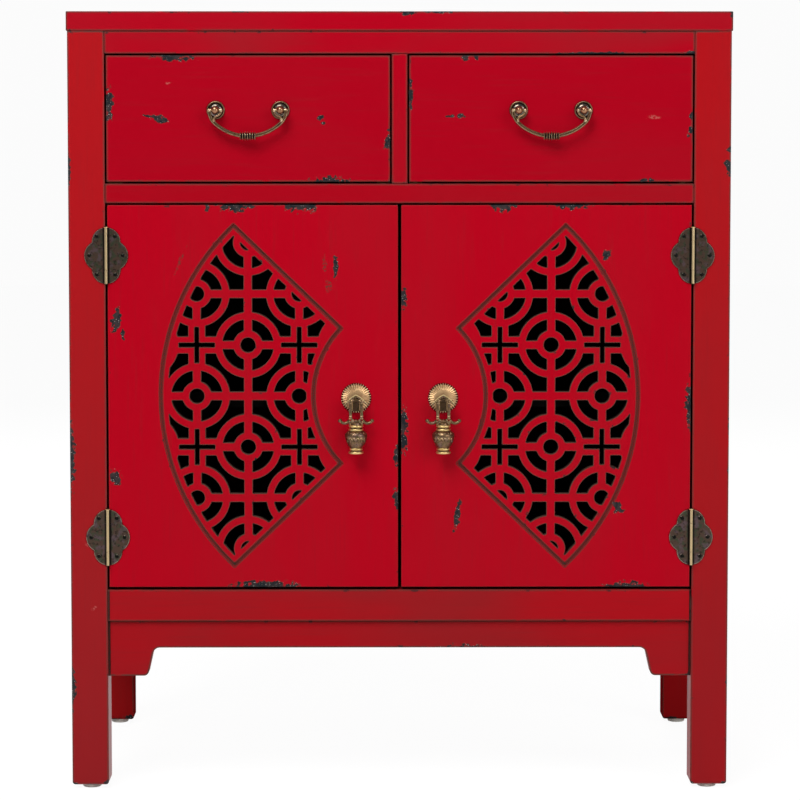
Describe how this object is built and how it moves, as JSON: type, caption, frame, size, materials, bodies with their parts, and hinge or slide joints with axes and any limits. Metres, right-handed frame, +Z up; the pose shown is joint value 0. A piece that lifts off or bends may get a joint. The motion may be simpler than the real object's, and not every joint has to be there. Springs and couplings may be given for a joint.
{
  "type": "entryway cabinet",
  "caption": "Small red lacquered cabinet on square legs, with drawers over hinged doors that carry pierced fan lattices, brass bail handles and hanging drop pulls.",
  "frame": {"origin": "on the floor under the middle of the overall box, pulls included", "axes": "+Z up, front towards -Y, +X to the right of someone who faces the cabinet"},
  "size_m": [0.632, 0.3538, 0.7458],
  "materials": {
    "red_lacquer": "satin red lacquer, rubbed through to dark ground at the edges",
    "dark_wood": "dark stain, matt",
    "back_board": "dark stain, matt",
    "drawer_wood": "bare wood",
    "aged_bronze": "aged dark brass, rubbed bright on the high spots",
    "bright_brass": "worn bright brass",
    "copper_brass": "reddish brass",
    "steel": "zinc plated",
    "black_plastic": "moulded",
    "white_plastic": "moulded"
  },
  "bodies": {
    "carcass": {"top_board": "red_lacquer", "front_left_post": "red_lacquer", "front_right_post": "red_lacquer", "rear_left_post": "red_lacquer", "rear_right_post": "red_lacquer", "front_top_rail": "red_lacquer", "front_middle_rail": "red_lacquer", "front_bottom_rail": "red_lacquer", "front_apron": "red_lacquer", "drawer_divider": "red_lacquer", "left_side_panel": "red_lacquer", "right_side_panel": "red_lacquer", "left_side_apron": "red_lacquer", "right_side_apron": "red_lacquer", "rear_top_rail": "dark_wood", "rear_bottom_rail": "dark_wood", "drawer_deck": "dark_wood", "cupboard_floor": "dark_wood", "cupboard_shelf": "dark_wood", "shelf_cleats": "dark_wood", "drawer_centre_guide": "dark_wood", "drawer_side_guides": "dark_wood", "back_panel": "back_board", "door_catches": "black_plastic", "foot_glides": "white_plastic", "hinge_frame_leaves": "aged_bronze", "hinge_pins": "bright_brass", "frame_hinge_nails": "aged_bronze"},
    "left_drawer": {"left_drawer_front": "red_lacquer", "left_drawer_left_side": "drawer_wood", "left_drawer_right_side": "drawer_wood", "left_drawer_back": "drawer_wood", "left_drawer_bottom": "drawer_wood", "left_drawer_rosettes": "aged_bronze", "left_drawer_handle_posts": "copper_brass", "left_drawer_handle_nuts": "steel"},
    "left_bail": {"left_drawer_bail": "aged_bronze"},
    "left_door": {"left_door_panel": "red_lacquer", "left_door_hinge_leaves": "aged_bronze", "left_door_hinge_nails": "aged_bronze", "left_door_catch_plate": "steel", "left_pull_rosette": "bright_brass", "left_pull_lug": "bright_brass"},
    "left_drop": {"left_pull_drop": "aged_bronze"},
    "right_drawer": {"right_drawer_front": "red_lacquer", "right_drawer_left_side": "drawer_wood", "right_drawer_right_side": "drawer_wood", "right_drawer_back": "drawer_wood", "right_drawer_bottom": "drawer_wood", "right_drawer_rosettes": "aged_bronze", "right_drawer_handle_posts": "copper_brass", "right_drawer_handle_nuts": "steel"},
    "right_bail": {"right_drawer_bail": "aged_bronze"},
    "right_door": {"right_door_panel": "red_lacquer", "right_door_hinge_leaves": "aged_bronze", "right_door_hinge_nails": "aged_bronze", "right_door_catch_plate": "steel", "right_pull_rosette": "bright_brass", "right_pull_lug": "bright_brass"},
    "right_drop": {"right_pull_drop": "aged_bronze"}
  },
  "joints": [
    {"name": "left_drawer_slide", "type": "slide", "parent": "carcass", "child": "left_drawer", "axis": [0, -1, 0], "range_m": [0, 0.2]},
    {"name": "left_bail_swing", "type": "hinge", "parent": "left_drawer", "child": "left_bail", "pos_m": [-0.14375, -0.1626, 0.65245], "axis": [-1, 0, 0], "range_deg": [-10, 110]},
    {"name": "left_door_hinge", "type": "hinge", "parent": "carcass", "child": "left_door", "pos_m": [-0.2791, -0.1554, 0.37945], "axis": [0, 0, -1], "range_deg": [0, 170]},
    {"name": "left_drop_swing", "type": "hinge", "parent": "left_door", "child": "left_drop", "pos_m": [-0.0415, -0.1661, 0.37695], "axis": [-1, 0, 0], "range_deg": [-3, 35]},
    {"name": "right_drawer_slide", "type": "slide", "parent": "carcass", "child": "right_drawer", "axis": [0, -1, 0], "range_m": [0, 0.2]},
    {"name": "right_bail_swing", "type": "hinge", "parent": "right_drawer", "child": "right_bail", "pos_m": [0.14375, -0.1626, 0.65245], "axis": [-1, 0, 0], "range_deg": [-10, 110]},
    {"name": "right_door_hinge", "type": "hinge", "parent": "carcass", "child": "right_door", "pos_m": [0.2791, -0.1554, 0.37945], "axis": [0, 0, 1], "range_deg": [0, 170]},
    {"name": "right_drop_swing", "type": "hinge", "parent": "right_door", "child": "right_drop", "pos_m": [0.0415, -0.1661, 0.37695], "axis": [-1, 0, 0], "range_deg": [-3, 35]}
  ]
}
